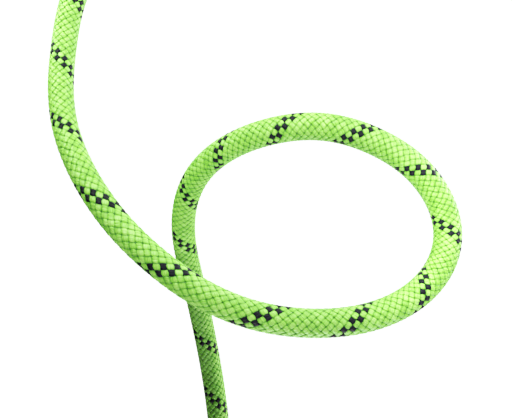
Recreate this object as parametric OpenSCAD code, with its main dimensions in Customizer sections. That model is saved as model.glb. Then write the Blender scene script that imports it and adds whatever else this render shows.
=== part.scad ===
// Dynamic climbing rope: a whole single rope, wound into a round coil that hangs by the inner
// top of its ring. Its tail hangs below the coil with one springy loop. Millimetres, +Z up,
// origin at the inner top of the ring, where a peg or an arm carries the coil.

/* [Rope] */
// Diameter over the sheath
rope_d = 10; // [9.6:0.1:10.2]
// Thickness of the braided sheath
sheath_t = 0.9; // [0.8:0.05:1]
// Sides of the tube that stands for the braid
tube_sides = 12; // [8:1:12]
// Rings along the hanging tube
tube_rings = 54; // [40:1:80]

/* [Core] */
// Diameter of one twisted core strand
core_d = 1.85; // [1.5:0.05:1.88]
// Strands round the middle of the core
inner_strands = 3; // [3]
// Strands in the ring next to the sheath
outer_strands = 9; // [9]
// Width of the identification tape
tape_w = 1.4; // [1:0.1:1.4]
// Thickness of the identification tape
tape_t = 0.15; // [0.1:0.05:0.2]

/* [Coil] */
// Radius of the ring at the middle of its turns
coil_r = 165; // [150:1:180]
// Radius of the round bundle that the turns make
bundle_r = 42; // [41:0.5:44]
// Turns that wrap round the bundle and close the coil
wrap_turns = 6; // [4:1:8]
// Width of the straps that tie the coil
tie_w = 20; // [15:1:30]
// Thickness of the straps
tie_t = 1.8; // [1.2:0.1:3]

/* [Ends] */
// Length of the sleeve near each end
sleeve_l = 34; // [25:1:34]
// Wall of the sleeve
sleeve_t = 0.5; // [0.3:0.1:0.8]
// Length of the fused tip
tip_l = 5; // [3:0.5:7]

/* [Hidden] */
core_names = [for (i = [0 : inner_strands + outer_strands - 1])
    str("core_strand_", i < 9 ? "0" : "", i + 1)];

gap = 0.1;
rope_r = rope_d / 2;
core_r = core_d / 2;
sheath_in_r = rope_r - sheath_t;

// The ring stands upright and its inner top is the origin.
ring_z = bundle_r - coil_r;

// The free stretch of the rope, from the wraps to its end: straight down out of the wraps,
// forwards and round one loop, then down behind it. The last points lie on one plumb line.
tail = [
    [-18, -47, -320], [-18, -47, -333], [-20, -47, -347], [-25, -47, -362], [-33, -46, -378],
    [-36, -45, -395], [-37, -47, -411], [-34, -53, -427], [-27, -62, -441], [-18, -71, -454],
    [-7, -77, -467], [7, -82, -479], [22, -85, -489], [39, -86, -496], [58, -84, -499],
    [78, -81, -498], [96, -77, -491], [107, -75, -478], [108, -74, -462], [98, -75, -446],
    [83, -74, -436], [65, -73, -430], [47, -69, -431], [30, -60, -436], [17, -49, -445],
    [10, -37, -459], [9, -25, -475], [12, -14, -491], [15, -6, -509], [18, 0, -527],
    [21, 2, -546], [23, 3, -565], [26, 1, -584], [26, 1, -602], [26, 1, -621], [26, 1, -640]
];
tail_start = tail[0];
tail_end = tail[len(tail) - 1];

// The rope's other end leaves the ring at its lower left and hangs beside it.
first_end_x = -173;
first_end_y = -10;
first_end_low = -322;
stub_low = -250;
stub_high = -226;

// Sleeves keep this far from the end of the rope.
sleeve_inset = 3;

// Where the wraps end, as an angle round the ring from its lowest point.
wrap_from = asin((tail_start.x - rope_r) / coil_r);
wrap_arc = (wrap_turns + 1) * rope_d / coil_r * 180 / PI;
tie_arc = tie_w / coil_r * 180 / PI;

function unit(v) = v / norm(v);

// A smooth curve that starts at the first point and ends at the last one.
function knots(p) = concat([2 * p[0] - p[1]], p, [2 * p[len(p) - 1] - p[len(p) - 2]]);
function blend_at(k, i, t) =
    (pow(1 - t, 3) * k[i]
     + (3 * pow(t, 3) - 6 * pow(t, 2) + 4) * k[i + 1]
     + (-3 * pow(t, 3) + 3 * pow(t, 2) + 3 * t + 1) * k[i + 2]
     + pow(t, 3) * k[i + 3]) / 6;
function curve_at(p, u) =
    let (i = min(floor(u), len(p) - 2))
    blend_at(knots(p), i, u - i);
function curve(p, count) =
    [for (j = [0 : count - 1]) curve_at(p, j * (len(p) - 1) / (count - 1))];

// Directions along a line of points, and side directions that never twist about it.
function directions(c) =
    [for (i = [0 : len(c) - 1]) unit(c[min(i + 1, len(c) - 1)] - c[max(i - 1, 0)])];
function squared(s, d) = unit(s - (s * d) * d);
function sides(d) =
    [for (i = 0, s = squared([1, 0, 0], d[0]); i < len(d);
          i = i + 1, s = i < len(d) ? squared(s, d[i]) : s) s];

// Corners of an outline, given across and along the side direction, at every ring.
function ring_points(c, outline) =
    let (d = directions(c), s = sides(d))
    [for (i = [0 : len(c) - 1]) for (q = outline) c[i] + q.x * s[i] + q.y * cross(d[i], s[i])];
function round_outline(r, count, at = [0, 0]) =
    [for (k = [0 : count - 1]) at + r * [cos(360 * k / count), sin(360 * k / count)]];
function turned(q, angle) =
    [q.x * cos(angle) - q.y * sin(angle), q.x * sin(angle) + q.y * cos(angle)];

tail_line = curve(tail, tube_rings);

// A closed solid swept along a line of rings.
module sweep(c, outline) {
    n = len(outline);
    last = (len(c) - 1) * n;
    walls = [for (i = [0 : len(c) - 2]) for (k = [0 : n - 1])
        [i * n + k, (i + 1) * n + k, (i + 1) * n + (k + 1) % n, i * n + (k + 1) % n]];
    caps = [[for (k = [0 : n - 1]) k], [for (k = [n - 1 : -1 : 0]) last + k]];
    polyhedron(ring_points(c, outline), concat(walls, caps), convexity = 10);
}

// A closed tube swept along a line of rings.
module sweep_tube(c, r_out, r_in, n) {
    m = len(c) * n;
    points = concat(ring_points(c, round_outline(r_out, n)), ring_points(c, round_outline(r_in, n)));
    outside = [for (i = [0 : len(c) - 2]) for (k = [0 : n - 1])
        [i * n + k, (i + 1) * n + k, (i + 1) * n + (k + 1) % n, i * n + (k + 1) % n]];
    inside = [for (f = outside) [m + f[3], m + f[2], m + f[1], m + f[0]]];
    first = [for (k = [0 : n - 1]) [k, (k + 1) % n, m + (k + 1) % n, m + k]];
    last = [for (f = first) [for (j = [3 : -1 : 0]) f[j] + m - n]];
    polyhedron(points, concat(outside, inside, first, last), convexity = 10);
}

// Part of a ring, from one angle round it to another, both from its lowest point.
module ring_part(from, arc) {
    translate([0, 0, ring_z])
        rotate([90, 0, 0])
            rotate([0, 0, from - 90])
                rotate_extrude(angle = arc, $fn = 96)
                    translate([coil_r, 0]) children();
}

// A layer that lies on the bundle.
module layer(thickness) {
    difference() {
        circle(r = bundle_r + gap + thickness, $fn = 64);
        circle(r = bundle_r + gap, $fn = 64);
    }
}

module upright(x, y, low, high, r) {
    translate([x, y, low]) cylinder(r = r, h = high - low, $fn = 48);
}

module sleeve(x, y, low) {
    difference() {
        upright(x, y, low, low + sleeve_l, rope_r + gap + sleeve_t);
        upright(x, y, low - 1, low + sleeve_l + 1, rope_r + gap);
    }
}

// Melted nylon: a short drum with a rounded lower edge.
module tip(x, y, top) {
    edge = 1.5;
    r = rope_r - gap;
    translate([x, y, top])
        rotate_extrude($fn = 48)
            polygon(concat([[0, 0], [0, -tip_l]],
                [for (a = [0 : 15 : 90])
                    [r - edge + edge * sin(a), -tip_l + edge - edge * cos(a)]],
                [[r, 0]]));
}

// The braided cover of the hanging stretch.
module rope_sheath() {
    color([0.42, 0.78, 0.16]) sweep_tube(tail_line, rope_r, sheath_in_r, tube_sides);
}

// One of the parallel core strands: the first ones touch the axis, the others lie round them.
module core_strand(i) {
    inner_place = 1.1;
    outer_place = 3;
    inner = i < inner_strands;
    at = inner
        ? turned([inner_place, 0], 360 * i / inner_strands)
        : turned([outer_place, 0], 360 * (i - inner_strands) / outer_strands);
    color([0.93, 0.93, 0.9]) sweep(tail_line, round_outline(core_r, 6, at));
}

// A thin tape that runs in the space between three of the strands.
module identification_tape() {
    place = 1.7;
    middle = 180 / inner_strands;
    outline = [for (q = [[-1, -1], [1, -1], [1, 1], [-1, 1]])
        turned([place + q.x * tape_t / 2, q.y * tape_w / 2], middle)];
    color([0.85, 0.3, 0.15]) sweep(tail_line, outline);
}

// The outer shape of the wound turns, with the short stretch where the first end leaves them.
module rope_coil() {
    color([0.42, 0.78, 0.16]) {
        union() {
            translate([0, 0, ring_z])
                rotate([90, 0, 0])
                    rotate_extrude($fn = 96)
                        translate([coil_r, 0]) circle(r = bundle_r, $fn = 64);
            upright(first_end_x, first_end_y, stub_low, stub_high, rope_r);
        }
    }
}

// The closing wraps, with the short stretch where the tail leaves them.
module coil_wraps() {
    wrap_z = ring_z - sqrt(pow(coil_r, 2) - pow(tail_start.x, 2));
    color([0.38, 0.72, 0.14]) {
        union() {
            ring_part(wrap_from, wrap_arc) layer(rope_d);
            upright(tail_start.x, tail_start.y, tail_start.z, wrap_z, rope_r);
        }
    }
}

// A strap round the bundle, at one side of the ring.
module coil_tie(side) {
    color([0.1, 0.1, 0.12]) ring_part(side * 90 - tie_arc / 2, tie_arc) layer(tie_t);
}

module first_end_rope() {
    color([0.42, 0.78, 0.16]) upright(first_end_x, first_end_y, first_end_low, stub_low, rope_r);
}

module first_end_sleeve() {
    color([0.9, 0.9, 0.9]) sleeve(first_end_x, first_end_y, first_end_low + sleeve_inset);
}

module first_end_tip() {
    color([0.3, 0.55, 0.12]) tip(first_end_x, first_end_y, first_end_low);
}

module last_end_sleeve() {
    color([0.9, 0.9, 0.9]) sleeve(tail_end.x, tail_end.y, tail_end.z + sleeve_inset);
}

module last_end_tip() {
    color([0.3, 0.55, 0.12]) tip(tail_end.x, tail_end.y, tail_end.z);
}

rope_sheath();
identification_tape();
rope_coil();
coil_wraps();
coil_tie(-1);  // coil_tie_left
coil_tie(1);  // coil_tie_right
first_end_rope();
first_end_sleeve();
first_end_tip();
last_end_sleeve();
last_end_tip();
for (i = [0 : len(core_names) - 1])
    core_strand(i);
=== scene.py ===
import math

import bpy
import numpy as np
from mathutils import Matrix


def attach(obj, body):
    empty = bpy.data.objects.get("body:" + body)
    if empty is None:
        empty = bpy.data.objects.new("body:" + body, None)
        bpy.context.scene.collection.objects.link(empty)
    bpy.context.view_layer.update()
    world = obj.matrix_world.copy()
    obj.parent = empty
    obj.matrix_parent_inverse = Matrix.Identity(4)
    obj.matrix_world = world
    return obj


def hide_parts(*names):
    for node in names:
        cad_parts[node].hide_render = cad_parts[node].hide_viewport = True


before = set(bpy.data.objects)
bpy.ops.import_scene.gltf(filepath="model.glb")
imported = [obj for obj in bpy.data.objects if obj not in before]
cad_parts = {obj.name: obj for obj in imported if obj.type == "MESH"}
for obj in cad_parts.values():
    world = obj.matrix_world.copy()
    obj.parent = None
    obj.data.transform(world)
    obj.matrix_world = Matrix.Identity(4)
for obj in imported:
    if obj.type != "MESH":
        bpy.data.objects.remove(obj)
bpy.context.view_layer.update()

MM = 0.001

# --- The rope, as in the CAD source --------------------------------------------------------------
ROPE_R = 5 * MM
COIL_R = 165 * MM
BUNDLE_R = 42 * MM
RING_Z = BUNDLE_R - COIL_R
WRAP_R = 47 * MM
WRAP_TURNS = 6
TIE_W = 20 * MM
SLEEVE_L = 34 * MM
SLEEVE_INSET = 3 * MM
FIRST_END = np.array([-173, -10, -322]) * MM
STUB_LOW = -250 * MM
BUNDLE_TWIST = math.radians(16)

# Route of the tail from the wraps to its end: the points of the CAD source, turned into metres
# where they are used.
TAIL_MM = [
    (-18, -47, -320), (-18, -47, -333), (-20, -47, -347), (-25, -47, -362), (-33, -46, -378),
    (-36, -45, -395), (-37, -47, -411), (-34, -53, -427), (-27, -62, -441), (-18, -71, -454),
    (-7, -77, -467), (7, -82, -479), (22, -85, -489), (39, -86, -496), (58, -84, -499),
    (78, -81, -498), (96, -77, -491), (107, -75, -478), (108, -74, -462), (98, -75, -446),
    (83, -74, -436), (65, -73, -430), (47, -69, -431), (30, -60, -436), (17, -49, -445),
    (10, -37, -459), (9, -25, -475), (12, -14, -491), (15, -6, -509), (18, 0, -527),
    (21, 2, -546), (23, 3, -565), (26, 1, -584), (26, 1, -602), (26, 1, -621), (26, 1, -640),
]

# --- The braid -----------------------------------------------------------------------------------
STRANDS = 10
TRACER_STRANDS = (0, 1)
LAY = 30 * MM
# Length of one turn of a strand, at distances along the tail: the bends of the loop squeeze it
# and draw it out in between.
LAY_AT_MM = [(0, 28), (80, 27), (140, 39), (230, 33), (300, 23), (360, 26), (440, 24),
             (520, 29), (640, 30)]
# Turns from the tracer's middle on to the X axis, at the start of the tail.
TRACER_START = -2.31
# A strand's middle goes up and down by the wave, and its top is crowned.
BRAID_MID_R = 4.44 * MM
BRAID_WAVE = 0.28 * MM
BRAID_CROWN = 0.28 * MM
# How much of its room a strand fills, and how much wider it is where it is on top.
BRAID_FILL = 0.95
BRAID_SPREAD = 0.22
# The closed tube under the braid, which hides the gaps in it with dark colour: painted shade.
BRAID_UNDER_R = 4.0 * MM
RINGS_PER_CROSSING = 4
# A strand's section, from edge to edge: where its corners lie, as a share of half its width, and
# how high they stand, as a share of the crown. The last corner is on its underside.
RIBBON_SIDE = np.array([-1, -0.9, -0.5, 0, 0.5, 0.9, 1, 0])
RIBBON_HIGH = np.array([-0.5, 0.65, 1, 0.85, 1, 0.65, -0.5, -1.7])


# --- Camera --------------------------------------------------------------------------------------
def make_camera():
    """A level camera close in front of the loop, with the picture's angle of view."""
    image_w, focal_px, sensor_mm = 512, 650, 36
    place = (0.040, -0.302, -0.460)
    data = bpy.data.cameras.new("camera")
    data.sensor_width = sensor_mm
    data.lens = sensor_mm * focal_px / image_w
    data.clip_start = 0.01
    data.clip_end = 50
    camera = bpy.data.objects.new("camera", data)
    camera.location = place
    camera.rotation_euler = (math.pi / 2, 0, 0)
    bpy.context.scene.collection.objects.link(camera)
    bpy.context.scene.camera = camera


# --- Lines ---------------------------------------------------------------------------------------
def smooth_step(x):
    x = np.clip(x, 0, 1)
    return x * x * (3 - 2 * x)


def smooth_curve(points, per_span):
    """The same curve as in the CAD source: a cubic B-spline that starts and ends at its ends."""
    p = np.array(points, float)
    p = np.vstack([2 * p[0] - p[1], p, 2 * p[-1] - p[-2]])
    t = np.arange(per_span) / per_span
    w = np.stack([(1 - t) ** 3, 3 * t ** 3 - 6 * t ** 2 + 4,
                  -3 * t ** 3 + 3 * t ** 2 + 3 * t + 1, t ** 3], 1) / 6
    spans = [w @ p[i:i + 4] for i in range(len(p) - 3)]
    return np.vstack(spans + [p[-2:-1]])


def lengths(p):
    """Length along a line, at each of its points."""
    return np.concatenate([[0], np.cumsum(np.linalg.norm(np.diff(p, axis=0), axis=1))])


def at_lengths(p, s, wanted):
    """What stands at these lengths, where row i of p stands at length s[i]."""
    return np.stack([np.interp(wanted, s, p[:, k]) for k in range(p.shape[1])], 1)


def resample(p, step):
    """The same line with its points evenly spaced, about a step apart."""
    s = lengths(p)
    return at_lengths(p, s, np.linspace(0, s[-1], round(s[-1] / step) + 1))


def softened(p, reach):
    """The line with its small corners rounded, where two stretches meet. reach is in points."""
    k = np.hanning(2 * reach + 1)
    k /= k.sum()
    q = np.vstack([np.repeat(p[:1], reach, 0), p, np.repeat(p[-1:], reach, 0)])
    return np.stack([np.convolve(q[:, i], k, "valid") for i in range(3)], 1)


def unit(v):
    return v / np.linalg.norm(v, axis=-1, keepdims=True)


def sides_along(p):
    """Two directions square to the line and to each other, which never twist about the line."""
    ways = unit(np.gradient(p, axis=0))
    side = np.empty_like(ways)
    u = np.array([1.0, 0.0, 0.0])
    for i, way in enumerate(ways):
        u = u - (u @ way) * way
        u /= math.sqrt(u @ u)
        side[i] = u
    return side, np.cross(ways, side)


def bridge(start, start_way, end, end_way, steps):
    """A smooth curve between two points, without them: it leaves and arrives along two ways."""
    t = np.linspace(0, 1, steps, endpoint=False)[1:, None]
    reach = np.linalg.norm(end - start)
    leaving = (2 * t ** 3 - 3 * t ** 2 + 1) * start + (t ** 3 - 2 * t ** 2 + t) * (start_way * reach)
    return leaving + (3 * t ** 2 - 2 * t ** 3) * end + (t ** 3 - t ** 2) * (end_way * reach)


# --- The coil's path -----------------------------------------------------------------------------
def bundle_slots():
    """Places of the turns in the bundle's cross-section: rows stacked from outside to inside."""
    rows = (3, 6, 7, 8, 7, 8, 7, 6, 3)
    pitch = 2 * ROPE_R
    slots = []
    for k, count in enumerate(rows):
        outward = (len(rows) // 2 - k) * pitch * math.sqrt(3) / 2
        across = (np.arange(count) - (count - 1) / 2) * pitch
        slots += [(y, outward) for y in (across if k % 2 == 0 else across[::-1])]
    return np.array(slots)


def in_ring(turn, y, outward):
    """Points at angles round the ring, from its lowest point and clockwise as seen in front."""
    return np.stack([-(COIL_R + outward) * np.sin(turn), y,
                     RING_Z - (COIL_R + outward) * np.cos(turn)], 1)


def in_bundle(place, turn):
    """Places in the bundle at this turn, because it twists a little to and fro on its way."""
    spin = BUNDLE_TWIST * np.sin(turn)
    y, outward = place[..., 0], place[..., 1]
    return y * np.cos(spin) - outward * np.sin(spin), y * np.sin(spin) + outward * np.cos(spin)


def coil_path(start_turn, end_turn):
    """The wound turns: each keeps its slot for one round, and changes it under the wraps."""
    slots = bundle_slots()
    step, lead, width = math.radians(1), math.radians(16), math.radians(24)
    wander = 0.35 * MM
    turn = np.arange(start_turn, end_turn, step)
    full = 2 * math.pi
    k = np.floor((turn + lead) / full).astype(int).clip(0, len(slots) - 1)
    past = (turn + lead) - k * full
    share = smooth_step(past / width)[:, None]
    before = slots[np.maximum(k - 1, 0)]
    place = before + (slots[k] - before) * share
    y, out = in_bundle(place, turn)
    # Slow waves that fit no whole number of turns, so that no two turns lie quite alike.
    y = y + wander * (np.sin(0.37 * turn) + np.sin(2.73 * turn + 1))
    out = out + wander * (np.sin(0.61 * turn + 2) + np.sin(3.31 * turn))
    return turn, y, out


def wrap_path():
    """The tail leaves the inner side of the bundle, turns across it and winds round it.

    Gives its place along the ring, its distance from the bundle's middle and its angle about it,
    point by point, and the place along the ring where it leaves its slot."""
    lead_in, swing, bend_steps = 55 * MM, math.radians(80), 60
    climb_early, climb = 20 * MM, 50 * MM
    pitch, step = 2 * ROPE_R, math.radians(3)
    last = bundle_slots()[-1]
    slot_r = math.hypot(*last)
    first = math.atan2(last[1], -last[0]) + swing
    end = WRAP_TURNS * 2 * math.pi
    start_a = TAIL_MM[0][0] * MM + pitch * (end - first) / (2 * math.pi)
    leave_a = start_a + lead_in
    t = np.linspace(0, math.pi / 2, bend_steps, endpoint=False)
    bend_a = start_a + lead_in * (1 - np.sin(t))
    bend_angle = first - swing * np.cos(t)
    wound_angle = np.append(np.arange(first, end, step), end)
    wound_a = start_a - pitch * (wound_angle - first) / (2 * math.pi)
    a = np.concatenate([bend_a, wound_a])
    angle = np.concatenate([bend_angle, wound_angle])
    rise = smooth_step((leave_a + climb_early - a) / climb)
    r = slot_r + (WRAP_R - slot_r) * rise
    return a, r, angle, leave_a


def rope_line():
    """The whole rope's centreline, from its first end to its last, and where its tail begins."""
    start_turn, step = math.radians(75), 2 * MM
    bridge_steps, curve_steps, softening = 40, 16, 6
    a, r, angle, leave_a = wrap_path()
    end_turn = len(bundle_slots()) * 2 * math.pi - leave_a / COIL_R
    coil = in_ring(*coil_path(start_turn, end_turn))
    wraps = in_ring(-a / COIL_R, -r * np.cos(angle), r * np.sin(angle))
    high = np.array([FIRST_END[0], FIRST_END[1], STUB_LOW])
    upward, onward = np.array([0, 0, 1]), unit(coil[1] - coil[0])
    join = bridge(high, upward, coil[0], onward, bridge_steps)
    tail_start = np.array(TAIL_MM[0]) * MM
    wound = resample(np.vstack([FIRST_END, high, join, coil, wraps, tail_start]), step)
    wound = np.vstack([FIRST_END, softened(wound, softening)])
    tail = resample(smooth_curve(TAIL_MM, curve_steps) * MM, step)
    return np.vstack([wound[:-1], tail]), lengths(wound)[-1]


# --- Meshes --------------------------------------------------------------------------------------
def link_mesh(name, verts, faces, materials, uv=None, face_material=None):
    """A smooth-shaded piece. uv has a row for each corner of each face."""
    mesh = bpy.data.meshes.new(name)
    mesh.from_pydata(np.asarray(verts).tolist(), [], faces)
    for material in materials:
        mesh.materials.append(material)
    if uv is not None:
        layer = mesh.uv_layers.new(name="braid")
        layer.data.foreach_set("uv", np.asarray(uv, np.float32).ravel())
    if face_material is not None:
        mesh.polygons.foreach_set("material_index", np.asarray(face_material, np.int32))
    mesh.polygons.foreach_set("use_smooth", [True] * len(mesh.polygons))
    mesh.update()
    piece = bpy.data.objects.new(name, mesh)
    bpy.context.scene.collection.objects.link(piece)
    return piece


def tube_faces(rings, n):
    """Quads of a closed tube and its two end faces, and each quad's ring and place in the ring."""
    i = np.repeat(np.arange(rings - 1), n)
    k = np.tile(np.arange(n), rings - 1)
    nxt = (k + 1) % n
    quads = np.stack([i * n + k, i * n + nxt, (i + 1) * n + nxt, (i + 1) * n + k], 1)
    caps = [list(range(n - 1, -1, -1)), [(rings - 1) * n + j for j in range(n)]]
    return quads.tolist() + caps, i, k


def tube_uv(i, k, along, across, n):
    """Corner coordinates of a tube's quads and end faces. across has n + 1 values, so that the
    last quad of a ring goes on to the last of them, and not back to the first."""
    a0, a1 = along[i], along[i + 1]
    b0, b1 = across[k], across[k + 1]
    quads = np.stack([a0, b0, a0, b1, a1, b1, a1, b0], 1).reshape(-1, 2)
    ends = np.concatenate([np.stack([np.full(n, along[0]), across[:n]], 1),
                           np.stack([np.full(n, along[-1]), across[:n]], 1)])
    return np.vstack([quads, ends])


# --- The rope ------------------------------------------------------------------------------------
class Rope:
    """The rope's line, its side directions, and the turns a strand has made at each length."""

    def __init__(self):
        self.line, self.tail_from = rope_line()
        self.s = lengths(self.line)
        self.u, self.v = sides_along(self.line)
        at, lay = np.array(LAY_AT_MM, float).T * MM
        lays = np.interp(self.s - self.tail_from, at, lay)
        # The wound rope keeps its natural lay.
        lays[self.s < self.tail_from - LAY] = LAY
        steps = np.diff(self.s) * 0.5 * (1 / lays[1:] + 1 / lays[:-1])
        self.turns = np.concatenate([[0], np.cumsum(steps)])
        # The angle of strand 0's edge at length 0 brings the tracer's middle, one strand's width
        # further on, to its place at the start of the tail.
        k = np.searchsorted(self.s, self.tail_from)
        x_angle = math.atan2(self.v[k][0], self.u[k][0])
        self.start_angle = 2 * math.pi * (self.turns[k] - TRACER_START - 1 / STRANDS) + x_angle

    def rings(self, s):
        """Centre, two side directions and strand turns at these lengths."""
        p = at_lengths(self.line, self.s, s)
        u = unit(at_lengths(self.u, self.s, s))
        v = unit(at_lengths(self.v, self.s, s))
        return p, u, v, np.interp(s, self.s, self.turns)


def make_rope(rope, woven_from, pattern, under):
    """The rope as one tube: full size where it is coiled, and under the braid along its tail."""
    sides, coil_step, tail_step, step_down = 16, 12 * MM, 5 * MM, 0.5 * MM
    # The wraps take up a little less than this, and have rings as close as the tail's.
    wraps_length = 2.1
    wraps_from = rope.tail_from - wraps_length
    s = np.concatenate([np.arange(0, wraps_from, coil_step),
                        np.arange(wraps_from, rope.s[-1], tail_step)])
    s = np.append(s[:-1], rope.s[-1])
    k = np.searchsorted(s, woven_from)
    s = np.concatenate([s[:k], [woven_from, woven_from + step_down], s[k:]])
    p, u, v, turns = rope.rings(s)
    across = np.arange(sides + 1) / sides
    angle = 2 * math.pi * across[:sides]
    r = np.where(s <= woven_from, ROPE_R, BRAID_UNDER_R)[:, None, None]
    verts = p[:, None] + r * (np.cos(angle)[None, :, None] * u[:, None]
                              + np.sin(angle)[None, :, None] * v[:, None])
    faces, i, j = tube_faces(len(s), sides)
    around = across - rope.start_angle / (2 * math.pi)
    uv = tube_uv(i, j, turns, around, sides)
    # The first material where the rope is wound, and the second, painted shade, under the braid.
    kind = np.append((s[i] >= woven_from).astype(int), [0, 1])
    piece = link_mesh("rope", verts.reshape(-1, 3), faces, [pattern, under], uv, kind)
    return piece, p


def is_tracer(hand, index):
    """The tracer is black, and made of neighbouring left-handed strands."""
    return hand > 0 and index in TRACER_STRANDS


def strand_name(hand, index):
    if is_tracer(hand, index):
        return f"tracer_strand_{index + 1}"
    return f"sheath_strand_{'left' if hand > 0 else 'right'}_{index + 1:02d}"


def make_strand(rope, woven_from, hand, index, material):
    """One double strand of the braid: a crowned ribbon that goes over and under the others.

    Ribbons of both hands are square to each other, so that a step across one is a step along
    the others, and every crossing is a square cell."""
    first, last = np.interp([woven_from, rope.s[-1]], rope.s, rope.turns)
    along = np.arange(first, last, 1 / (2 * STRANDS * RINGS_PER_CROSSING))
    wave = np.cos(2 * math.pi * STRANDS * along)[:, None] * hand
    # Flatter tops and bottoms, and steeper ways between them.
    wave = wave * (1.2 - 0.2 * wave ** 2)
    half = BRAID_FILL / 2 / STRANDS * RIBBON_SIDE[None, :] * (1 + BRAID_SPREAD * wave)
    turns = np.clip(along[:, None] + half / 2, first, last)
    around = (index + 0.5) / STRANDS - hand * (along[:, None] - half / 2)
    angle = 2 * math.pi * around + rope.start_angle
    r = BRAID_MID_R + BRAID_WAVE * wave + RIBBON_HIGH[None, :] * BRAID_CROWN
    p, u, v, _ = rope.rings(np.interp(turns.ravel(), rope.turns, rope.s))
    angle = angle.reshape(-1, 1)
    verts = p + r.reshape(-1, 1) * (np.cos(angle) * u + np.sin(angle) * v)
    n = RIBBON_SIDE.size
    faces, i, k = tube_faces(len(along), n)
    # Whole numbers where the strand is on top, and another set of them for each strand.
    length = along * STRANDS + 7 * index + (0 if hand > 0 else 0.5)
    # The underside comes after the strand's far edge, at 1.
    underside, back = 1.6, 2.2
    across = np.concatenate([RIBBON_SIDE[:-1], [underside, back]])
    uv = tube_uv(i, k, length, across, n)
    piece = link_mesh(strand_name(hand, index), verts, faces, [material], uv)
    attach(piece, "root")
    return piece


# --- Ends ----------------------------------------------------------------------------------------
def make_turned(name, axis, profile, relief, sides, materials, face_row_material, node):
    """A closed piece turned about an upright axis. profile gives (height, radius) rows, and
    relief the share by which its radius grows at a height and an angle."""
    angle = 2 * math.pi * np.arange(sides) / sides
    height = np.array([row[0] for row in profile])[:, None]
    radius = np.array([row[1] for row in profile])[:, None]
    radius = radius * (1 + relief(height, angle[None, :]))
    verts = np.stack([axis[0] + radius * np.cos(angle), axis[1] + radius * np.sin(angle),
                      height + 0 * radius], 2).reshape(-1, 3)
    faces, i, k = tube_faces(len(profile), sides)
    along, around = np.linspace(0, 1, len(profile)), np.arange(sides + 1) / sides
    uv = tube_uv(i, k, along, around, sides)
    rows = np.array(face_row_material)
    face_material = np.append(rows[i], [rows[0], rows[-1]])
    piece = link_mesh(name, verts, faces, materials, uv, face_material)
    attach(piece, "root")
    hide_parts(node)
    return piece


def make_sleeve(node, axis, low, clear, label):
    """A shrunk clear sleeve: drawn in at its ends, and the braid shows through as faint ridges."""
    rows, sides = 56, 80
    lip, edge_mm, swell_mm = 1.2 * MM, 0.16, 0.26
    crease_high, crease_pitch, crease_reach = 0.05 * MM, 2.4 * MM, 3 * MM
    label_from, label_to, label_thick = 0.2, 0.8, 0.06 * MM
    ridge_share, label_hides = 0.008, 0.6
    part = np.linspace(0, 1, rows)
    to_edge = np.minimum(part, 1 - part) * SLEEVE_L
    rounded = np.sqrt(np.clip(to_edge / lip, 0, 1))
    radius = ROPE_R + (edge_mm + swell_mm * rounded) * MM
    fade = np.exp(-to_edge / crease_reach)
    crease = crease_high * np.cos(2 * math.pi * to_edge / crease_pitch) * fade
    labelled = (part > label_from) & (part < label_to)
    radius = radius + crease + label_thick * labelled

    def relief(z, angle):
        turns = z / LAY
        a = np.cos(STRANDS * (angle + 2 * math.pi * turns))
        b = np.cos(STRANDS * (angle - 2 * math.pi * turns))
        hidden = (z > low + label_from * SLEEVE_L) & (z < low + label_to * SLEEVE_L)
        return ridge_share * a * b * (1 - label_hides * hidden)

    profile = list(zip(low + SLEEVE_L * part, radius))
    name = node.replace("sleeve", "shrunk_sleeve")
    return make_turned(name, axis, profile, relief, sides, [clear, label],
                       labelled.astype(int), node)


def make_tip(node, axis, top, material):
    """Sheath and core melted together: ridges of the braid run out into a lumpy rounded end."""
    length, outer, straight, top_share = 5 * MM, 4.9 * MM, 1.4 * MM, 0.985
    rows, sides, bluntness, least = 26, 72, 0.55, 0.01
    ridge_share, lump_share = 0.018, 0.012
    profile = [(top, outer * top_share), (top - 0.8 * MM, outer)]
    for x in np.linspace(0, math.pi / 2, rows):
        height = top - straight - (length - straight) * math.sin(x)
        profile.append((height, outer * max(math.cos(x), least) ** bluntness))

    def relief(z, angle):
        down = (top - z) / length
        ridges = np.cos(STRANDS * angle + 18 * down) * np.cos(STRANDS * angle - 18 * down)
        lumps = np.cos(3 * angle + 5 * down + 1) + 0.7 * np.cos(5 * angle - 9 * down)
        return ridge_share * ridges * (1 - down) - lump_share * (1 + lumps / 1.7) * down

    name = node.replace("tip", "melted_tip")
    return make_turned(name, axis, profile, relief, sides, [material], [0] * len(profile), node)


# --- Straps --------------------------------------------------------------------------------------
def on_ring(turn, along, rho, psi):
    """Points near the bundle: a way along the ring from a turn, and polar about its middle."""
    return in_ring(turn - along / COIL_R, -rho * np.cos(psi), rho * np.sin(psi))


def belt_radius(turn, psi):
    """How far a belt pulled tight round the turns lies from the bundle's middle.

    Each way it could face has a line that just touches the turns, and the belt is inside all."""
    gap, least_lean = 0.6 * MM, 0.3
    y, out = in_bundle(bundle_slots(), turn)
    facing = np.radians(np.arange(360))
    reach = (np.outer(out, np.sin(facing)) - np.outer(y, np.cos(facing))).max(0)
    reach = reach + ROPE_R + gap
    lean = np.cos(facing[None, :] - np.asarray(psi)[..., None])
    return (reach / np.maximum(lean, least_lean)).min(-1)


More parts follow.
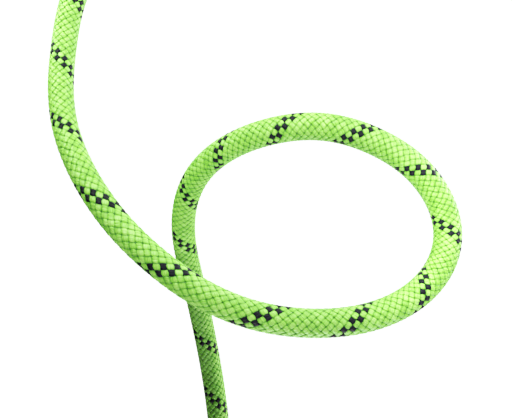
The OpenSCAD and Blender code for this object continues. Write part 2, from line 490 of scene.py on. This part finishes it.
def make_strap(name, turn, node, web, thread):
    """Flat webbing once round the bundle, its end lapped over its start and sewn down."""
    thick, edge, lap_gap, stitch_gap = 1.0 * MM, 0.5 * MM, 0.1 * MM, 0.12 * MM
    start, lap, ramp, step = (math.radians(angle) for angle in (-60, 62, 16, 2.5))
    psi = np.arange(0, 2 * math.pi + lap, step)
    climb = smooth_step((psi - 2 * math.pi + ramp) / ramp)
    rho = belt_radius(turn, start + psi) + climb * (thick + lap_gap)
    half = TIE_W / 2
    # The webbing's cross-section: place across it, and height as a share of half its thickness.
    section = np.array([(-half, 0.3), (-half + edge, 0.85), (-half / 2, 1), (0, 1), (half / 2, 1),
                        (half - edge, 0.85), (half, 0.3), (half, -0.3), (half - edge, -1), (0, -1),
                        (-half + edge, -1), (-half, -0.3)])
    n = len(section)
    across = np.broadcast_to(section[:, 0], (len(psi), n))
    r = rho[:, None] + thick / 2 * (1 + section[None, :, 1])
    angle = np.broadcast_to((start + psi)[:, None], (len(psi), n))
    verts = on_ring(turn, across.ravel(), r.ravel(), angle.ravel())
    faces, i, k = tube_faces(len(psi), n)
    uv = tube_uv(i, k, psi * BUNDLE_R / MM, np.append(section[:, 0], -half) / MM, n)
    strap = link_mesh(name, verts, faces, [web], uv)
    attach(strap, "root")
    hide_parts(node)
    make_stitches(name + "_stitches", turn, start, lap, 2 * thick + stitch_gap, thread)


def make_stitches(name, turn, start, lap, above, thread):
    """A rectangle of short stitches on the lapped end, with a cross in it."""
    half, low, high = 0.36 * TIE_W, start + 0.22 * lap, start + 0.9 * lap
    length, gap, points = 2.2 * MM, 0.7 * MM, 6
    corners = [(-half, low), (half, low), (half, high), (-half, high)]
    lines = list(zip(corners, corners[1:] + corners[:1]))
    lines += [(corners[0], corners[2]), (corners[1], corners[3])]
    verts, faces = [], []
    for from_a, to_a in lines:
        run = math.hypot(to_a[0] - from_a[0], (to_a[1] - from_a[1]) * BUNDLE_R)
        count = int(run / (length + gap))
        for middle in (np.arange(count) + 0.5) / count:
            share = length / run * np.linspace(-0.5, 0.5, points) + middle
            add_stitch(verts, faces, turn, np.array(from_a), np.array(to_a), share, above)
    piece = link_mesh(name, np.array(verts), faces, [thread])
    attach(piece, "root")


def add_stitch(verts, faces, turn, from_a, to_a, share, above):
    """One stitch: a thread that rises out of the webbing and dips back in."""
    wide, high, sides, sunk = 0.28 * MM, 0.22 * MM, 6, 0.7
    run = (to_a - from_a) * (1, BUNDLE_R)
    aside = np.array([-run[1], run[0]]) / math.hypot(*run)
    round_it = 2 * math.pi * np.arange(sides) / sides
    swell = np.sin(math.pi * np.linspace(0.08, 0.92, len(share)))[:, None]
    out = wide * np.cos(round_it)[None, :] * swell
    across = from_a[0] + (to_a - from_a)[0] * share[:, None] + aside[0] * out
    psi = from_a[1] + (to_a - from_a)[1] * share[:, None] + aside[1] * out / BUNDLE_R
    rise = high * (swell - sunk + np.sin(round_it)[None, :] * swell)
    rho = belt_radius(turn, psi) + above + rise
    base = len(verts)
    verts += on_ring(turn, across.ravel(), rho.ravel(), psi.ravel()).tolist()
    faces += [[base + v for v in loop] for loop in tube_faces(len(share), sides)[0]]


# --- Materials -----------------------------------------------------------------------------------
class Nodes:
    """Short ways to build a node tree."""

    def __init__(self, name):
        self.material = bpy.data.materials.new(name)
        self.material.use_nodes = True
        self.tree = self.material.node_tree
        self.tree.nodes.clear()
        self.shader = self.tree.nodes.new("ShaderNodeBsdfPrincipled")
        out = self.tree.nodes.new("ShaderNodeOutputMaterial")
        self.tree.links.new(self.shader.outputs[0], out.inputs["Surface"])

    def put(self, socket, value):
        """Links a socket to another one, or sets it to a value."""
        if isinstance(value, bpy.types.NodeSocket):
            self.tree.links.new(value, socket)
        elif value is not None:
            socket.default_value = value

    def set(self, **values):
        """Sets or links the shader's own sockets."""
        for key, value in values.items():
            self.put(self.shader.inputs[key.replace("_", " ")], value)

    def math(self, operation, a, b=None, c=None):
        node = self.tree.nodes.new("ShaderNodeMath")
        node.operation = operation
        for socket, value in zip(node.inputs, (a, b, c)):
            self.put(socket, value)
        return node.outputs[0]

    def uv(self):
        """The two coordinates that link_mesh stores."""
        node = self.tree.nodes.new("ShaderNodeUVMap")
        node.uv_map = "braid"
        split = self.tree.nodes.new("ShaderNodeSeparateXYZ")
        self.put(split.inputs[0], node.outputs[0])
        return split.outputs[0], split.outputs[1]

    def vector(self, x, y, z=0.0):
        node = self.tree.nodes.new("ShaderNodeCombineXYZ")
        for socket, value in zip(node.inputs, (x, y, z)):
            self.put(socket, value)
        return node.outputs[0]

    def place(self):
        return self.tree.nodes.new("ShaderNodeTexCoord").outputs["Object"]

    def noise(self, vector, scale, detail=2.0, roughness=0.5):
        node = self.tree.nodes.new("ShaderNodeTexNoise")
        self.put(node.inputs["Vector"], vector)
        self.put(node.inputs["Scale"], scale)
        self.put(node.inputs["Detail"], detail)
        self.put(node.inputs["Roughness"], roughness)
        return node.outputs[0]

    def ramp(self, value, *stops):
        node = self.tree.nodes.new("ShaderNodeValToRGB")
        self.put(node.inputs[0], value)
        elements = node.color_ramp.elements
        while len(elements) < len(stops):
            elements.new(0.5)
        for element, (position, colour) in zip(elements, stops):
            element.position = position
            element.color = (*colour, 1)
        return node.outputs[0]

    def mix(self, share, a, b):
        node = self.tree.nodes.new("ShaderNodeMix")
        node.data_type = "RGBA"
        self.put(node.inputs["Factor"], share)
        for socket, value in ((node.inputs["A"], a), (node.inputs["B"], b)):
            self.put(socket, (*value, 1) if isinstance(value, tuple) else value)
        return node.outputs["Result"]

    def range(self, value, a, b):
        """a where the value is 0 and b where it is 1."""
        node = self.tree.nodes.new("ShaderNodeMapRange")
        self.put(node.inputs[0], value)
        self.put(node.inputs[3], a)
        self.put(node.inputs[4], b)
        return node.outputs[0]

    def bump(self, height, distance, strength):
        node = self.tree.nodes.new("ShaderNodeBump")
        self.put(node.inputs["Height"], height)
        self.put(node.inputs["Distance"], distance)
        self.put(node.inputs["Strength"], strength)
        self.put(self.shader.inputs["Normal"], node.outputs[0])


# Colours of the yarns, from their grooves to their crowns. The darkest are painted shade.
GREEN_SHADE = (0.040, 0.19, 0.006)
GREEN = (0.19, 0.65, 0.040)
# The palest are pale filament streaks, and a painted highlight on the drawn braid's crowns.
GREEN_PALE_AND_HIGHLIGHT = (0.42, 0.90, 0.17)
BLACK_SHADE = (0.002, 0.0025, 0.004)
BLACK = (0.004, 0.005, 0.008)
# The palest black: pale filament streaks, and a painted highlight on the drawn braid's crowns.
BLACK_PALE_AND_HIGHLIGHT = (0.010, 0.012, 0.018)
# Filaments: how often their noise changes along a cell and from one to the next, and how much of
# it is fine. The second is for half a strand's width, and the drawn braid doubles it.
FILAMENTS_ALONG, FILAMENTS_ACROSS, FILAMENTS_ROUGH = 0.9, 6.5, 0.6
# Slow changes of colour along the rope, in waves per metre.
CLOUDS = 260.0


def yarn_material(name, deep, middle, pale, gloss):
    """Yarns of a double strand: fine filaments along it, a groove between its two yarns."""
    m = Nodes(name)
    along, across = m.uv()
    streaks = m.vector(m.math("MULTIPLY", along, FILAMENTS_ALONG),
                       m.math("MULTIPLY", across, FILAMENTS_ACROSS))
    filaments = m.noise(streaks, 1.0, 2.0, FILAMENTS_ROUGH)
    cloudy = m.noise(m.place(), CLOUDS, 2.0)
    edge = m.math("ABSOLUTE", across)
    on_top = m.math("COSINE", m.math("MULTIPLY", along, 2 * math.pi))
    # Colour: streaked by filaments, with painted shade at the edges and where the strand dips under.
    tone = m.math("MULTIPLY_ADD", filaments, 0.7, m.math("MULTIPLY", cloudy, 0.5))
    tone = m.math("SUBTRACT", tone, m.math("MULTIPLY", m.math("POWER", edge, 6.0), 0.45))
    dip_shade = m.math("POWER", m.math("SUBTRACT", 1.0, on_top), 2.0)
    tone = m.math("SUBTRACT", tone, m.math("MULTIPLY", dip_shade, 0.35))
    m.set(Base_Color=m.ramp(tone, (0.15, deep), (0.48, middle), (0.75, pale)))
    m.set(Roughness=m.range(filaments, 0.3, 0.5), Specular_IOR_Level=gloss)
    # Relief: a groove along the middle, on a top that falls off to its edges and its ends.
    groove = m.math("MULTIPLY", m.math("POWER", m.math("SUBTRACT", 1.0, edge), 8.0), -1.2)
    dome = m.math("MULTIPLY_ADD", m.math("POWER", edge, 2.0), -0.5, m.math("MULTIPLY", on_top, 1.1))
    m.bump(m.math("ADD", dome, m.math("ADD", filaments, groove)), 0.12 * MM, 0.8)
    return m.material


def braid_material():
    """The same braid drawn on the coiled rope: crowned cells, with the tracer's two strands.

    left and right count strands of each hand. Each whole square of them is a cell, whose strand
    on top is a little wider at its middle, as in the woven stretch."""
    m = Nodes("braid")
    turns, around = m.uv()
    left = m.math("MULTIPLY", m.math("ADD", around, turns), STRANDS)
    right = m.math("MULTIPLY", m.math("SUBTRACT", around, turns), STRANDS)
    half_left, half_right = m.math("MULTIPLY", left, math.pi), m.math("MULTIPLY", right, math.pi)

    def bulge(value, size, sine_of, cosine_of):
        swell = m.math("MULTIPLY", m.math("SINE", sine_of), m.math("COSINE", cosine_of))
        return m.math("MULTIPLY_ADD", swell, size, value)

    left, right = (bulge(left, BRAID_SPREAD / 2, half_right, half_left),
                   bulge(right, -BRAID_SPREAD / 2, half_left, half_right))
    cells = m.math("ADD", m.math("FLOOR", left), m.math("FLOOR", right))
    right_on_top = m.math("FLOORED_MODULO", cells, 2.0)
    left_on_top = m.math("SUBTRACT", 1.0, right_on_top)

    def choose(a, b):
        """a where a right-handed strand is on top, and b where a left-handed one is."""
        return m.math("ADD", m.math("MULTIPLY", a, right_on_top),
                      m.math("MULTIPLY", b, left_on_top))

    def off_middle(x):
        """How far it is from the middle of its cell, in strand widths."""
        return m.math("ABSOLUTE", m.math("SUBTRACT", m.math("FRACT", x), 0.5))

    a, b = off_middle(left), off_middle(right)
    across, lengthwise = choose(b, a), choose(a, b)
    # Crown: high at a cell's middle, low at its seams and corners. It also shapes the bump below.
    dip = m.math("MULTIPLY_ADD", m.math("POWER", across, 2.0), 3.0,
                 m.math("MULTIPLY", m.math("POWER", lengthwise, 2.0), 2.4))
    crown = m.math("SUBTRACT", 1.0, dip)
    streaks = m.vector(m.math("MULTIPLY", choose(left, right), FILAMENTS_ALONG),
                       m.math("MULTIPLY", choose(right, left), 2 * FILAMENTS_ACROSS),
                       right_on_top)
    filaments = m.noise(streaks, 1.0, 2.0, FILAMENTS_ROUGH)
    strand = m.math("FLOORED_MODULO", m.math("FLOOR", left), float(STRANDS))
    in_tracer = m.math("LESS_THAN", strand, len(TRACER_STRANDS) - 0.5)
    tracer = m.math("MULTIPLY", in_tracer, left_on_top)
    cloudy = m.noise(m.place(), CLOUDS, 2.0)
    # Colour: painted highlight on the crowns, painted shade in seams and corners, clouds, streaks.
    tone = m.math("ADD", m.math("MULTIPLY_ADD", crown, 0.55, m.math("MULTIPLY", cloudy, 0.2)),
                  m.math("MULTIPLY_ADD", filaments, 0.6, -0.25))
    green = m.ramp(tone, (0.1, GREEN_SHADE), (0.45, GREEN), (0.85, GREEN_PALE_AND_HIGHLIGHT))
    black = m.ramp(tone, (0.1, BLACK_SHADE), (0.6, BLACK), (0.95, BLACK_PALE_AND_HIGHLIGHT))
    m.set(Base_Color=m.mix(tracer, green, black))
    m.set(Roughness=m.range(filaments, 0.42, 0.62), Sheen_Weight=0.03, Sheen_Roughness=0.4,
          Specular_IOR_Level=0.2)
    m.bump(m.math("MULTIPLY_ADD", filaments, 0.4, crown), 0.45 * MM, 0.9)
    return m.material


def mottled_material(name, deep, pale, scale, roughness, bump_mm):
    """A plain moulded, melted or spun surface with uneven colour, gloss and relief."""
    m = Nodes(name)
    cloud = m.noise(m.place(), scale, 4.0, 0.6)
    m.set(Base_Color=m.ramp(cloud, (0.3, deep), (0.7, pale)), Roughness=m.range(cloud, *roughness))
    m.bump(cloud, bump_mm * MM, 0.6)
    return m.material


def core_material():
    """Undyed nylon: fine plies at a slant across the strand."""
    m = Nodes("core_yarn")
    radians_per_metre = 2600.0
    split = m.tree.nodes.new("ShaderNodeSeparateXYZ")
    m.put(split.inputs[0], m.place())
    cloud = m.noise(m.place(), 900.0, 3.0)
    slant = m.math("ADD", split.outputs[2], split.outputs[0])
    plies = m.math("SINE", m.math("MULTIPLY", slant, radians_per_metre))
    tone = m.math("MULTIPLY_ADD", plies, 0.2, cloud)
    m.set(Base_Color=m.ramp(tone, (0.2, (0.62, 0.61, 0.56)), (0.75, (0.88, 0.87, 0.82))),
          Roughness=m.range(cloud, 0.5, 0.7), Sheen_Weight=0.3)
    m.bump(tone, 0.1 * MM, 0.6)
    return m.material


def sleeve_material(name, deep, pale):
    """Shrunk clear plastic over what lies beneath it: glossy, with fine creases."""
    m = Nodes(name)
    cloud = m.noise(m.place(), 420.0, 3.0, 0.55)
    creases = m.noise(m.place(), 90.0, 2.0)
    m.set(Base_Color=m.ramp(cloud, (0.3, deep), (0.7, pale)), Roughness=m.range(creases, 0.3, 0.5),
          Coat_Weight=0.8, Coat_Roughness=0.12)
    m.bump(creases, 0.15 * MM, 0.35)
    return m.material


def melted_material():
    """Nylon that was cut with heat: green sheath, a scorched rim, and pale core in the middle."""
    m = Nodes("melted_nylon")
    down, _ = m.uv()
    cloud = m.noise(m.place(), 700.0, 4.0, 0.6)
    place = m.math("MULTIPLY_ADD", m.math("SUBTRACT", cloud, 0.5), 0.35, down)
    m.set(Base_Color=m.ramp(place, (0.1, (0.12, 0.40, 0.02)), (0.35, (0.03, 0.10, 0.008)),
                            (0.62, (0.012, 0.02, 0.006)), (0.85, (0.35, 0.30, 0.16))),
          Roughness=m.range(cloud, 0.18, 0.5), Specular_IOR_Level=0.6)
    m.bump(cloud, 0.35 * MM, 0.7)
    return m.material


def webbing_material():
    """Black flat webbing: a fine rib weave, and a little dust."""
    m = Nodes("webbing")
    rib_mm, row_mm = 1.4, 1.6
    along, across = m.uv()
    rib = m.math("SINE", m.math("MULTIPLY", along, 2 * math.pi / rib_mm))
    rows = m.math("SINE", m.math("MULTIPLY", across, 2 * math.pi / row_mm))
    weave = m.math("MULTIPLY", rib, rows)
    cloud = m.noise(m.place(), 350.0, 3.0, 0.6)
    tone = m.math("MULTIPLY_ADD", weave, 0.18, cloud)
    m.set(Base_Color=m.ramp(tone, (0.25, (0.004, 0.004, 0.005)), (0.8, (0.028, 0.028, 0.032))),
          Roughness=m.range(cloud, 0.6, 0.85), Sheen_Weight=0.05, Sheen_Roughness=0.5)
    m.bump(weave, 0.18 * MM, 0.8)
    return m.material


def dress_core(nodes):
    """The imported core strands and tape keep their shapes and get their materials."""
    core_yarn = core_material()
    tape = mottled_material("tape", (0.5, 0.1, 0.03), (0.75, 0.2, 0.08), 300, (0.3, 0.5), 0.02)
    for name, piece in nodes.items():
        if name.startswith(("core_strand", "identification_tape")):
            piece.data.materials.clear()
            piece.data.materials.append(core_yarn if name.startswith("core") else tape)


# --- Stage ---------------------------------------------------------------------------------------
FLOOR_Z = -0.95
FLOOR_HALF = 12
# The backdrop is burnt out to white, as in a product picture.
BACKDROP = 2.6
# The soft shoulder of a camera: brightness in the scene, and brightness in the picture.
TONE_WHITE = 2.5
TONE = [(0.2, 0.2), (0.355, 0.35), (0.58, 0.49), (0.845, 0.645), (1.5, 0.87), (2.0, 0.965)]


def camera_sees(tree, seen, cast):
    """A mix of two shaders: one that the camera sees, and one that lights the rope."""
    mix = tree.nodes.new("ShaderNodeMixShader")
    path = tree.nodes.new("ShaderNodeLightPath")
    tree.links.new(path.outputs["Is Camera Ray"], mix.inputs[0])
    tree.links.new(cast, mix.inputs[1])
    tree.links.new(seen, mix.inputs[2])
    return mix.outputs[0]


def make_floor():
    """A white floor well below the rope."""
    e, z = FLOOR_HALF, FLOOR_Z
    material = bpy.data.materials.new("floor")
    material.use_nodes = True
    tree = material.node_tree
    diffuse = tree.nodes["Principled BSDF"]
    diffuse.inputs["Base Color"].default_value = (0.8, 0.8, 0.8, 1)
    diffuse.inputs["Roughness"].default_value = 0.9
    white = tree.nodes.new("ShaderNodeEmission")
    white.inputs["Strength"].default_value = BACKDROP
    shader = camera_sees(tree, white.outputs[0], diffuse.outputs[0])
    tree.links.new(shader, tree.nodes["Material Output"].inputs["Surface"])
    corners = [(-e, -e, z), (e, -e, z), (e, e, z), (-e, e, z)]
    link_mesh("floor", corners, [(0, 1, 2, 3)], [material])


def make_world():
    """A white backdrop that lights the rope from behind, and not from the camera's side."""
    dark_y, full_y, full_level = -0.6, 0.15, 1.45
    world = bpy.data.worlds.new("world")
    world.use_nodes = True
    tree = world.node_tree
    direction = tree.nodes.new("ShaderNodeTexCoord").outputs["Generated"]
    split = tree.nodes.new("ShaderNodeSeparateXYZ")
    tree.links.new(direction, split.inputs[0])
    level = tree.nodes.new("ShaderNodeMapRange")
    tree.links.new(split.outputs[1], level.inputs[0])
    for socket, value in zip(level.inputs[1:5], (dark_y, full_y, 0.0, full_level)):
        socket.default_value = value
    soft, white = tree.nodes["Background"], tree.nodes.new("ShaderNodeBackground")
    soft.inputs["Color"].default_value = (1, 1, 1, 1)
    tree.links.new(level.outputs[0], soft.inputs["Strength"])
    white.inputs["Color"].default_value = (1, 1, 1, 1)
    white.inputs["Strength"].default_value = BACKDROP
    shader = camera_sees(tree, white.outputs[0], soft.outputs[0])
    tree.links.new(shader, tree.nodes["World Output"].inputs["Surface"])
    bpy.context.scene.world = world


def set_tone():
    """A curve that makes bright greens pale softly towards white instead of clipping."""
    view = bpy.context.scene.view_settings
    view.view_transform = "Standard"
    view.use_curve_mapping = True
    view.curve_mapping.white_level = (TONE_WHITE,) * 3
    for scene_level, picture_level in TONE:
        view.curve_mapping.curves[3].points.new(scene_level / TONE_WHITE, picture_level)
    view.curve_mapping.update()


def make_light(name, place, target, size, power, spread=180):
    """A round soft light that the camera does not see. spread is in degrees."""
    data = bpy.data.lights.new(name, "AREA")
    data.shape = "DISK"
    data.size = size
    data.energy = power
    data.spread = math.radians(spread)
    light = bpy.data.objects.new(name, data)
    light.location = place
    aim = np.array(target) - np.array(place)
    light.rotation_euler = (math.atan2(math.hypot(aim[0], aim[1]), -aim[2]), 0,
                            math.atan2(aim[1], aim[0]) - math.pi / 2)
    light.visible_camera = False
    bpy.context.scene.collection.objects.link(light)


def make_flag(name, corners, level):
    """A dark card out of the camera's sight that keeps light off a stretch of the rope."""
    dark = mottled_material(name, (level,) * 3, (1.5 * level,) * 3, 20, (0.9, 1), 0.1)
    flag = link_mesh(name, corners, [(0, 1, 2, 3)], [dark])
    flag.visible_camera = False


def make_flags():
    """A card at the left of the rope's lowest stretch, and a narrow one close in front of it."""
    x, near, far, low, high = -0.075, -0.19, 0.25, -0.75, -0.385
    corners = [(x, near, low), (x, far, low), (x, far, high), (x, near, high)]
    make_flag("flag_left", corners, 0.01)
    y, left, right, low, high = -0.030, -0.005, 0.050, -0.66, -0.490
    corners = [(left, y, low), (right, y, low), (right, y, high), (left, y, high)]
    make_flag("flag_front", corners, 0.12)


def make_lights():
    """A large light in front, rims at both sides, one below, and small ones close to the loop."""
    loop, front = (0.05, -0.05, -0.40), (0.04, -0.08, -0.48)
    right, left = (0.10, -0.07, -0.46), (-0.035, -0.045, -0.38)
    inner = (0.108, -0.077, -0.475)
    make_light("fill", (-0.5, -1.1, 0.35), loop, 0.6, 8.5)
    make_light("over_front", (0.06, -0.13, -0.335), front, 0.06, 0.16)
    make_light("near_right", (0.14, -0.13, -0.42), right, 0.06, 0.10)
    make_light("inner_right", (0.085, -0.125, -0.465), inner, 0.03, 0.016, 100)
    make_light("near_left", (-0.10, -0.16, -0.33), left, 0.10, 0.55)
    make_light("rim_right", (0.85, 0.30, -0.20), loop, 0.5, 10.5)
    make_light("rim_left", (-0.85, 0.25, 0.0), loop, 0.5, 4)
    make_light("below", (0.08, -0.02, -0.85), loop, 0.3, 1.6)


# --- Assembly ------------------------------------------------------------------------------------
make_camera()
rope = Rope()
# The woven stretch begins behind the bundle, half a wrap before the rope comes to its front.
half_wrap = math.pi * WRAP_R
woven_from = rope.tail_from - half_wrap - (RING_Z - COIL_R - TAIL_MM[0][2] * MM)
green_yarn = yarn_material("sheath_yarn", GREEN_SHADE, GREEN, GREEN_PALE_AND_HIGHLIGHT, 0.4)
black_yarn = yarn_material("tracer_yarn", BLACK_SHADE, BLACK, BLACK_PALE_AND_HIGHLIGHT, 0.1)
# The dark tube under the braid: painted shade in the gaps between the strands.
under = mottled_material("painted_shade_under_braid", (0.02, 0.10, 0.004), (0.05, 0.2, 0.01), 900,
                         (0.7, 0.9), 0.1)
rope_piece, rope_path = make_rope(rope, woven_from, braid_material(), under)
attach(rope_piece, "root")
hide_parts("rope_coil", "coil_wraps", "first_end_rope", "rope_sheath")
strands = [make_strand(rope, woven_from, hand, index,
                       black_yarn if is_tracer(hand, index) else green_yarn)
           for hand in (1, -1) for index in range(STRANDS)]
clear = sleeve_material("clear_sleeve", (0.10, 0.36, 0.015), (0.19, 0.56, 0.04))
label = sleeve_material("sleeve_label", (0.72, 0.73, 0.70), (0.84, 0.85, 0.82))
melted = melted_material()
last_end = np.array(TAIL_MM[-1]) * MM
for order, end in (("first", FIRST_END), ("last", last_end)):
    make_sleeve(order + "_end_sleeve", end, end[2] + SLEEVE_INSET, clear, label)
    make_tip(order + "_end_tip", end, end[2], melted)

dress_core(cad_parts)
web = webbing_material()
thread = mottled_material("thread", (0.05, 0.05, 0.055), (0.16, 0.16, 0.17), 2500, (0.5, 0.8), 0.05)
for side, turn in (("left", 90), ("right", 270)):
    make_strap("strap_" + side, math.radians(turn), "coil_tie_" + side, web, thread)

make_floor()
make_world()
set_tone()
make_flags()
make_lights()
